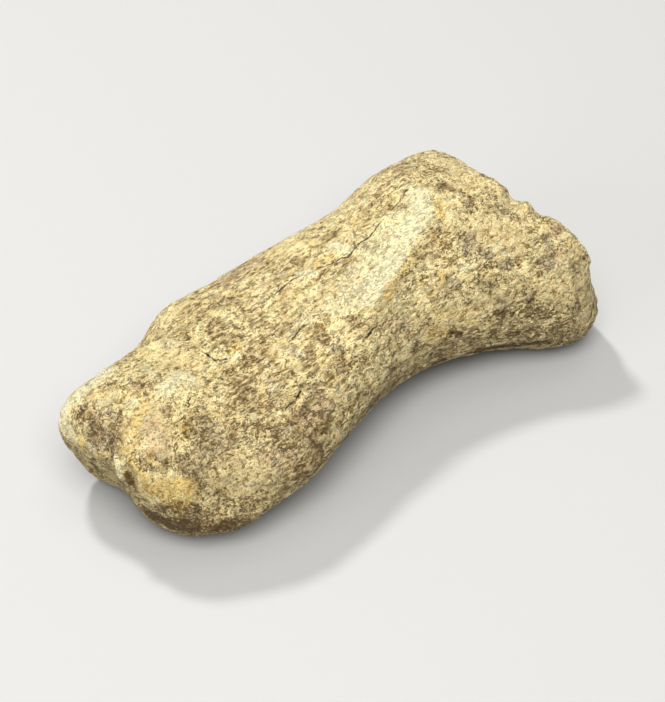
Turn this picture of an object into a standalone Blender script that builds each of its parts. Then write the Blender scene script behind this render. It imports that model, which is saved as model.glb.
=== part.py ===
"""First toe bone (proximal phalanx) of a cave bear, life size, lying with its back up.

The bone is one closed piece. X runs along it, from the toe-tip end to the paw end, +Y is
the side away from the viewer, and Z is up. It is lofted from named sections, remeshed to
even facets, and then its joint surfaces, pits and ridges are pressed or raised in it.
"""

import math
from collections import namedtuple

import bmesh
import bpy
import numpy as np
from mathutils import Vector

MM = 0.001

# Driving sizes, in millimetres.
LENGTH = 53.0
RING_POINTS = 72
RING_STEP = 0.75
FACET_SIZE = 0.98
FOOT_DEPTH = 0.3

# Sections along the bone, in millimetres: place from the toe-tip end, reach to the near
# and far side, lowest and highest point, height of the widest line, how far the crest of
# the back lies off the middle, how far the section is rolled (in degrees), and how square
# its upper and lower half are (2 is an ellipse).
Section = namedtuple("Section", "x near far low high widest crest roll square_up square_down")
SECTIONS = (
    Section(0.0, 8.4, 7.6, 1.6, 13.6, 7.8, 0.0, 4.0, 2.5, 2.5),
    Section(3.0, 10.0, 7.8, 1.0, 13.7, 7.4, 0.0, 4.0, 2.4, 2.5),
    Section(8.0, 11.9, 7.9, 0.8, 13.9, 7.2, 0.0, 4.0, 2.4, 2.6),
    Section(12.0, 12.3, 8.7, 1.4, 14.1, 7.4, 0.0, 3.5, 2.3, 2.5),
    Section(16.0, 12.3, 10.3, 2.2, 14.6, 7.8, 0.0, 3.0, 2.3, 2.5),
    Section(22.0, 10.9, 10.5, 2.8, 15.2, 8.2, 0.0, 2.0, 2.2, 2.5),
    Section(29.0, 8.9, 10.6, 2.8, 16.4, 8.4, -0.5, 1.0, 2.1, 2.5),
    Section(36.0, 8.9, 10.5, 2.2, 17.5, 8.2, 0.5, 0.0, 1.9, 2.5),
    Section(43.0, 11.3, 12.2, 1.0, 18.4, 7.6, 2.0, 0.0, 1.8, 2.6),
    Section(49.0, 14.0, 12.2, 0.2, 17.4, 6.8, 1.6, 0.0, 2.1, 3.0),
    Section(53.0, 12.4, 11.8, 0.4, 16.2, 6.8, 0.6, 0.0, 2.6, 2.8),
)

# The roller (trochlea) at the toe-tip end.
ROLLER_RADIUS = 6.2
ROLLER_HEIGHT = 8.2
ROLLER_SIDE_ROUND = 5.4
ROLLER_LEAN = 5.5
ROLLER_LEAN_REACH = 14.0

# The socket end.
RIM_ROUND = 2.2
SOCKET_TILT = 20.0
SOCKET_TURN = 0.0
SOCKET_TILT_REACH = 14.0
SOCKET_DEPTH = 2.6
SOCKET_HALF_WIDTH = 10.6
SOCKET_HALF_HEIGHT = 7.2
SOCKET_CENTRE = (0.0, 9.0)
PALM_NOTCH_DEPTH = 2.6
PALM_NOTCH_HALF_WIDTH = 3.4

# The groove between the two knuckles of the roller.
GROOVE_DEPTH = 0.7
GROOVE_HALF_WIDTH = 3.0
GROOVE_SIDE = -0.6

# Local forms: centre and spread in millimetres, and how far the surface is raised.
Form = namedtuple("Form", "name centre spread lift")
FORMS = (
    Form("near ligament pit", (6.0, -10.6, 7.4), (3.0, 2.5, 2.8), -1.1),
    Form("far ligament pit", (6.0, 8.6, 8.2), (3.0, 2.5, 2.8), -1.1),
    Form("near side knob", (12.5, -10.5, 9.5), (3.4, 2.6, 3.0), 0.5),
    Form("far side knob", (15.5, 9.5, 10.8), (3.0, 2.6, 3.0), 0.5),
    Form("crease behind the roller", (11.0, 5.0, 14.5), (2.0, 5.0, 3.0), -0.5),
    Form("far knuckle tip", (1.0, 6.4, 8.0), (3.0, 2.4, 4.5), 0.45),
    Form("near knuckle, worn front", (1.0, -6.2, 5.0), (3.0, 3.0, 3.5), -0.5),
    Form("near knuckle, palm side", (5.5, -4.8, 0.8), (4.2, 3.0, 3.0), 0.8),
    Form("far knuckle, palm side", (5.5, 4.6, 1.0), (4.2, 3.0, 3.0), 1.45),
    Form("near rim lobe", (50.5, -9.2, 12.6), (3.0, 3.2, 3.0), 1.0),
    Form("near rim notch", (48.5, -4.2, 16.0), (2.0, 1.5, 2.0), -0.4),
    Form("near palm tubercle", (49.5, -9.6, 1.0), (4.0, 3.6, 3.0), 0.8),
    Form("far palm tubercle", (49.5, 8.4, 1.0), (4.0, 3.6, 3.0), 0.8),
    Form("palm hollow", (28.0, 0.0, 2.5), (13.0, 4.5, 3.0), -0.7),
    Form("hollow behind the roller", (15.0, 0.0, 1.0), (3.5, 5.5, 3.0), -0.8),
    Form("near sheath ridge", (27.0, -6.6, 3.4), (9.0, 1.8, 2.4), 0.5),
    Form("far sheath ridge", (27.0, 6.6, 3.4), (9.0, 1.8, 2.4), 0.5),
)

BONE_COLOUR = (0.62, 0.50, 0.27, 1.0)
BONE_ROUGHNESS = 0.62


def clear_scene():
    """Removes whatever the file opened with."""
    for old in list(bpy.data.objects):
        bpy.data.objects.remove(old, do_unlink=True)


def smooth_through(places, values, at):
    """Smooth curve through the given values, read at one place."""
    places = np.asarray(places, float)
    values = np.asarray(values, float)
    slopes = np.gradient(values, places)
    cell = int(np.clip(np.searchsorted(places, at) - 1, 0, len(places) - 2))
    gap = places[cell + 1] - places[cell]
    t = (at - places[cell]) / gap
    start, end = values[cell], values[cell + 1]
    rise, fall = slopes[cell] * gap, slopes[cell + 1] * gap
    return (
        (2 * t**3 - 3 * t**2 + 1) * start
        + (t**3 - 2 * t**2 + t) * rise
        + (3 * t**2 - 2 * t**3) * end
        + (t**3 - t**2) * fall
    )


def section_at(x):
    """The section sizes at one place along the bone."""
    places = [s.x for s in SECTIONS]
    columns = list(zip(*SECTIONS))[1:]
    sizes = [smooth_through(places, column, x) for column in columns]
    return Section(x, *sizes)


def ramp(value, start, end):
    """Smooth step from 0 at start to 1 at end."""
    t = np.clip((value - start) / (end - start), 0.0, 1.0)
    return t * t * (3 - 2 * t)


def quarter_round(distance, radius):
    """Height of a quarter circle that starts at 0 and reaches 1 at its radius."""
    t = min(max(distance / radius, 0.0), 1.0)
    return math.sqrt(max(0.0, 1.0 - (1.0 - t) ** 2))


def ring(x):
    """The points of one lofted ring, leaning as the joint surface at that end does."""
    s = section_at(x)
    roller = quarter_round(x, ROLLER_RADIUS)
    sides = quarter_round(x, ROLLER_SIDE_ROUND)
    rim = 1.0 - quarter_round(LENGTH - x, RIM_ROUND)
    low = ROLLER_HEIGHT + (s.low - ROLLER_HEIGHT) * roller + rim * RIM_ROUND
    high = ROLLER_HEIGHT + (s.high - ROLLER_HEIGHT) * roller - rim * RIM_ROUND
    widest = ROLLER_HEIGHT + (s.widest - ROLLER_HEIGHT) * roller
    inset = rim * RIM_ROUND + (1.0 - sides) * ROLLER_SIDE_ROUND
    points = []
    for k in range(RING_POINTS):
        angle = 2 * math.pi * k / RING_POINTS
        side, rise = math.cos(angle), math.sin(angle)
        square = s.square_up if rise > 0 else s.square_down
        crest = s.crest if rise > 0 else 0.0
        reach = (s.far - crest if side > 0 else s.near + crest) - inset
        height = (high - widest) if rise > 0 else (widest - low)
        y = crest + math.copysign(abs(side) ** (2 / square), side) * reach
        z = widest + math.copysign(abs(rise) ** (2 / square), rise) * height
        z += y * math.tan(math.radians(s.roll))
        lean = math.tan(math.radians(ROLLER_LEAN)) * (1.0 - ramp(x, 0.0, ROLLER_LEAN_REACH))
        socket = ramp(x, LENGTH - SOCKET_TILT_REACH, LENGTH)
        tilt = math.tan(math.radians(SOCKET_TILT)) * socket
        turn = math.tan(math.radians(SOCKET_TURN)) * socket
        shifted = x - lean * y - tilt * (z - SOCKET_CENTRE[1]) + turn * y
        points.append((shifted, y, z))
    return points


def ring_places():
    """Places of the rings, closer together where the ends round over."""
    steps = int(LENGTH / RING_STEP)
    even = [LENGTH * (0.5 - 0.5 * math.cos(math.pi * k / steps)) for k in range(1, steps)]
    return [0.02] + even + [LENGTH]


def loft_bone():
    """The closed loft through all rings, as a new object."""
    shape = bmesh.new()
    rings = []
    for x in ring_places():
        rings.append([shape.verts.new(Vector(p) * MM) for p in ring(x)])
    for first, second in zip(rings, rings[1:]):
        for k in range(RING_POINTS):
            after = (k + 1) % RING_POINTS
            shape.faces.new((first[k], first[after], second[after], second[k]))
    shape.faces.new(list(reversed(rings[0])))
    shape.faces.new(rings[-1])
    bmesh.ops.recalc_face_normals(shape, faces=shape.faces)
    mesh = bpy.data.meshes.new("toe_bone")
    shape.to_mesh(mesh)
    shape.free()
    bone = bpy.data.objects.new("toe_bone", mesh)
    return bone


def apply_modifiers(bone):
    """Makes the evaluated shape the object's own mesh."""
    evaluated = bone.evaluated_get(bpy.context.evaluated_depsgraph_get())
    mesh = bpy.data.meshes.new_from_object(evaluated)
    bone.modifiers.clear()
    bone.data = mesh


def remesh(bone):
    """Even facets all over, so that the ends can be modelled as finely as the shaft."""
    even = bone.modifiers.new("even facets", "REMESH")
    even.mode = "VOXEL"
    even.voxel_size = FACET_SIZE * MM
    apply_modifiers(bone)


def smooth(bone, rounds):
    """Takes the steps of the remesh off the surface."""
    soften = bone.modifiers.new("soften", "SMOOTH")
    soften.factor = 0.5
    soften.iterations = rounds
    apply_modifiers(bone)


def read_surface(bone):
    """Vertex places in millimetres, and vertex normals."""
    count = len(bone.data.vertices)
    places = np.empty(count * 3)
    normals = np.empty(count * 3)
    bone.data.vertices.foreach_get("co", places)
    bone.data.vertices.foreach_get("normal", normals)
    return places.reshape(-1, 3) / MM, normals.reshape(-1, 3)


def write_surface(bone, places):
    """Puts vertex places in millimetres back on the mesh."""
    bone.data.vertices.foreach_set("co", (places * MM).ravel())
    bone.data.update()


def raise_forms(bone):
    """Knobs, pits and ridges, each a smooth swell along the surface normal."""
    places, normals = read_surface(bone)
    shift = np.zeros(len(places))
    for form in FORMS:
        away = (places - np.array(form.centre)) / np.array(form.spread)
        shift += form.lift * np.exp(-(away**2).sum(axis=1))
    write_surface(bone, places + normals * shift[:, None])


def cut_groove(bone):
    """Shallow groove that runs round the roller between its two knuckles."""
    places, _ = read_surface(bone)
    axle = np.array((ROLLER_RADIUS, ROLLER_HEIGHT))
    spoke = places[:, [0, 2]] - axle
    reach = np.linalg.norm(spoke, axis=1)
    across = np.exp(-(((places[:, 1] - GROOVE_SIDE) / GROOVE_HALF_WIDTH) ** 2))
    front = 1.0 - ramp(places[:, 0], ROLLER_RADIUS, ROLLER_RADIUS + 4.0)
    sink = GROOVE_DEPTH * across * front / np.maximum(reach, 1.0)
    places[:, [0, 2]] -= spoke * sink[:, None]
    write_surface(bone, places)


def hollow_socket(bone):
    """Oval cup in the paw end, and the notch between the two palm tubercles below it."""
    places, normals = read_surface(bone)
    y = (places[:, 1] - SOCKET_CENTRE[0]) / SOCKET_HALF_WIDTH
    z = (places[:, 2] - SOCKET_CENTRE[1]) / SOCKET_HALF_HEIGHT
    inside = np.clip(1.0 - y**2 - z**2, 0.0, 1.0)
    facing = ramp(normals[:, 0], 0.2, 0.7)
    sink = SOCKET_DEPTH * inside**0.8 * facing
    notch = np.exp(-((places[:, 1] / PALM_NOTCH_HALF_WIDTH) ** 2))
    low = 1.0 - ramp(places[:, 2], 1.0, 7.0)
    end = ramp(places[:, 0], LENGTH - 9.0, LENGTH - 1.0)
    places[:, 0] -= sink
    places[:, 2] += PALM_NOTCH_DEPTH * notch * low * end
    write_surface(bone, places)


def settle(bone):
    """Centres the bone over the origin and lets it rest on small flats at floor level."""
    places, _ = read_surface(bone)
    places[:, 2] -= places[:, 2].min() + FOOT_DEPTH
    places[:, 2] = np.maximum(places[:, 2], 0.0)
    middle = (places.min(axis=0) + places.max(axis=0)) / 2
    places[:, :2] -= middle[:2]
    write_surface(bone, places)


def bone_material():
    """Matte fossil bone."""
    material = bpy.data.materials.new("fossil bone")
    material.use_nodes = True
    shader = material.node_tree.nodes["Principled BSDF"]
    shader.inputs["Base Color"].default_value = BONE_COLOUR
    shader.inputs["Roughness"].default_value = BONE_ROUGHNESS
    shader.inputs["Metallic"].default_value = 0.0
    return material


def main():
    clear_scene()
    collection = bpy.data.collections.new("cave bear toe bone")
    bpy.context.scene.collection.children.link(collection)
    bone = loft_bone()
    collection.objects.link(bone)
    remesh(bone)
    raise_forms(bone)
    cut_groove(bone)
    hollow_socket(bone)
    smooth(bone, 3)
    settle(bone)
    bone.data.materials.clear()
    bone.data.materials.append(bone_material())
    bone.data.shade_smooth()


main()
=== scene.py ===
import math

import bpy
import numpy as np
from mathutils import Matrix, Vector
from mathutils.bvhtree import BVHTree


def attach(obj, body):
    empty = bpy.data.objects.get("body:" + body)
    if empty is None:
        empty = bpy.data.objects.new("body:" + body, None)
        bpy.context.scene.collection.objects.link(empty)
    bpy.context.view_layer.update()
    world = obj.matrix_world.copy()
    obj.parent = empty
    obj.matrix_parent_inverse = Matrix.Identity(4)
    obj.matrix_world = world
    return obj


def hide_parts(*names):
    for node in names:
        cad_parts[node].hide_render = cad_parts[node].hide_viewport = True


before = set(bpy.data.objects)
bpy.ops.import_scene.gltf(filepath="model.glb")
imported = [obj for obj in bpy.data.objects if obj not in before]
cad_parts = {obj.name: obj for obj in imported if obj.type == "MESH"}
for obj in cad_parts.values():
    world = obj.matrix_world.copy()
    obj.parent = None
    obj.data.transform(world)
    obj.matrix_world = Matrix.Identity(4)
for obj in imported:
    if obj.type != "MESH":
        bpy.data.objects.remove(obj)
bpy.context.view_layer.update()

MM = 0.001

# The view, in the photograph's own pixels where a name says so.
FRAME_WIDTH, FRAME_HEIGHT = 665, 702
LONGER_SIDE = max(FRAME_WIDTH, FRAME_HEIGHT)
VIEW_TURN = math.radians(-41.0)
VIEW_RISE = math.radians(42.0)
VIEW_DISTANCE = 0.220
AIM = Vector((0.0, 0.0, 0.008))
AIM_PIXEL = (327.0, 336.0)
FOCAL_PIXELS = 2290.0
SENSOR_SIZE = 36.0

# The fine surface: step in millimetres, and rounds of smoothing.
SKIN_STEP = 0.22
SOFTEN_ROUNDS = 8
# Solid corners closer than this, in metres, are one corner.
SAME_CORNER = 0.000002

# In millimetres, for a vertex that no path has reached yet.
FAR_AWAY = 99.0

# Relief: photograph pixels along each form, then radius and lift in millimetres, and how
# steep its sides are (2 is a soft swell, 4 a flat top with steep sides).
RELIEF = {
    "crest of the back": (
        (430, 196), (431, 220), (414, 243), (404, 262), (392, 280), (383, 300), (368, 318), 1.0,
        0.34, 2,
    ),
    "hollow under the crest": ((437, 262), (418, 290), (404, 318), 2.2, -0.3, 2),
    "hollow on the far slope": ((345, 225), (315, 240), 2.6, -0.14, 2),
    "boss on the far knuckle": ((167, 388), (184, 380), 1.35, 0.3, 3),
    "edge of the boss": ((192, 376), (191, 388), 0.45, 0.14, 2),
    "ridge behind the roller": (
        (143, 352), (152, 346), (165, 343), (178, 345), (190, 351), 0.5, 0.42, 2,
    ),
    "hollow behind the roller": ((172, 362), (205, 361), (232, 368), 1.3, -0.24, 2),
    "near knuckle dent": ((196, 478), (207, 452), (214, 430), 1.4, -0.22, 2),
    "far knuckle dent": ((92, 418), (98, 440), 1.2, -0.18, 2),
    "hollow by the flake": ((126, 469), (130, 481), 0.5, -0.62, 3),
    "pale flake": ((115, 458), (118, 468), (120, 479), 0.38, 0.32, 3),
    "flank dent": ((318, 392), (303, 412), 1.6, -0.22, 2),
    "flank groove": ((297, 367), (287, 379), (276, 394), 0.42, -0.14, 2),
    "stain hollow": ((340, 352), (328, 360), 0.9, -0.1, 2),
    "rim nick, far": ((457, 166), 0.8, -0.3, 2),
    "rim corner": ((472, 174), (487, 181), (500, 190), 1.0, 0.54, 2),
    "rim nick, middle": ((511, 202), 0.8, -0.34, 2),
    "rim lobe": ((524, 208), 0.9, 0.76, 2),
    "rim nick, near": ((540, 220), 0.7, -0.28, 2),
    "rim lobe, near": ((554, 226), (566, 240), (584, 262), 1.2, 0.66, 2),
    "groove between the knuckles": ((106, 474), (118, 484), (132, 497), 1.3, -0.3, 2),
    "low edge of the far knuckle": (
        (80, 466), (86, 471), (92, 476), (98, 480), (104, 483), (110, 486), 2.4, -1.0, 2,
    ),
    "upper edge of the far knuckle": ((88, 387), (102, 376), (116, 368), 1.5, -0.18, 2),
    "low edge of the neck": ((398, 378), (418, 368), (455, 354), (505, 347), 2.0, -0.3, 2),
    "low edge of the near knuckle": ((232, 520), (248, 516), 1.6, 0.36, 2),
    "low edge of the shaft": ((312, 466), (326, 452), 1.8, 0.26, 2),
    "joint edge slit": ((547, 236), (551, 247), 0.32, -0.36, 2),
    "chip on the crest": ((403, 206), (411, 203), 0.36, -0.12, 2),
}
# Dirt lies in hollows narrower than this radius in millimetres.
NARROW = 0.7

# Cracks: photograph pixels along each, then half the width that is drawn and the depth that is
# pressed in, in millimetres.
CRACKS = {
    "back crack, low end": (
        (272, 297), (276, 292), (283, 287), (289, 281), (296, 277), (301, 275), 0.07, 0.16,
    ),
    "back crack": (
        (311, 271), (320, 267), (327, 264), (334, 261), (341, 257), (347, 256), (351, 252),
        (355, 247), (360, 241), (364, 239), (370, 235), (374, 229), (379, 223), (384, 218), 0.0775,
        0.24,
    ),
    "back crack, high end": (
        (388, 213), (393, 207), (398, 203), (400, 199), (405, 192), (410, 186), 0.06, 0.12,
    ),
    "back crack, branch": ((390, 222), (393, 215), (399, 209), (409, 203), 0.04, 0.1),
    "faint crack": ((228, 321), (240, 314), (250, 308), (259, 301), 0.055, 0.08),
    "shaft crack": (
        (287, 343), (292, 338), (296, 335), (300, 329), (305, 325), (312, 322), 0.06, 0.2,
    ),
    "side crack": ((363, 343), (366, 338), (369, 335), (374, 329), (379, 325), 0.12, 0.22),
    "crack behind the roller": (
        (200, 351), (206, 353), (210, 357), (214, 359), (220, 359), (229, 358), 0.11, 0.22,
    ),
    "roller crack": ((193, 393), (190, 397), (188, 401), (189, 405), (186, 411), 0.055, 0.16),
    "roller crack, low end": ((185, 415), (180, 419), (175, 422), 0.06, 0.22),
    "flank crack": ((302, 390), (298, 397), (295, 400), 0.095, 0.22),
    "flank crack, low end": ((295, 400), (288, 407), (285, 412), 0.045, 0.14),
    "hairline": ((366, 276), (368, 271), (373, 267), (379, 262), 0.03, 0.05),
    "fork": ((372, 272), (378, 277), (382, 272), (384, 268), 0.03, 0.05),
    "far slope line": ((380, 178), (400, 170), (412, 166), (425, 162), 0.03, 0.06),
    "far slope line 2": ((418, 172), (432, 169), (441, 172), 0.05, 0.1),
    "far knuckle slit": ((118, 376), (124, 374), 0.065, 0.18),
    "near knuckle slit": ((141, 472), (147, 470), 0.055, 0.14),
    "near knuckle slit 2": ((168, 499), (177, 497), 0.055, 0.14),
    "near knuckle line": ((152, 452), (154, 459), (165, 463), (175, 461), 0.045, 0.12),
    "groove line": ((290, 374), (285, 382), (280, 389), 0.035, 0.05),
    "gouge 1": ((511, 317), (516, 312), (520, 309), 0.1, 0.24),
    "gouge 2": ((524, 321), (530, 317), (533, 313), 0.09, 0.22),
    "gouge 3": ((527, 306), (531, 301), (536, 298), 0.1, 0.22),
    "gouge 4": ((513, 300), (517, 295), (518, 291), 0.08, 0.18),
    "gouge 5": ((538, 310), (543, 307), (545, 303), 0.08, 0.2),
    "gouge 6": ((541, 294), (547, 291), 0.07, 0.16),
    "gouge 7": ((544, 321), (551, 319), (555, 314), 0.09, 0.22),
    "gouge 8": ((576, 311), (577, 305), (580, 299), 0.08, 0.18),
    "gouge 9": ((501, 315), (505, 309), 0.08, 0.18),
    "gouge 10": ((557, 305), (562, 302), 0.07, 0.16),
    "low slit 1": ((449, 332), (456, 334), (463, 334), 0.09, 0.18),
    "low slit 2": ((474, 331), (480, 330), 0.08, 0.16),
    "low slit 3": ((506, 337), (513, 334), (521, 334), 0.1, 0.2),
    "low slit 4": ((551, 331), (557, 327), (562, 327), 0.09, 0.18),
    "low slit 5": ((488, 340), (493, 338), 0.08, 0.16),
    "flank slit 1": ((400, 350), (405, 346), 0.075, 0.14),
    "flank slit 2": ((347, 366), (352, 361), 0.065, 0.12),
    "flank slit 3": ((321, 435), (326, 430), 0.075, 0.14),
    "flank slit 4": ((271, 468), (277, 464), 0.075, 0.14),
    "low edge slit": ((180, 519), (190, 522), 0.09, 0.18),
    "low edge slit 2": ((218, 525), (228, 522), 0.09, 0.18),
}
# Slits and gouges are filled, so they are drawn paler than open cracks.
OPEN_TONE, FILLED_TONE = 1.0, 0.7
# How far the side of a crack slopes, and how far from its middle it is drawn, in millimetres.
CRACK_SLOPE = 0.24
CRACK_REACH = (0.5, 0.8)

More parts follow.
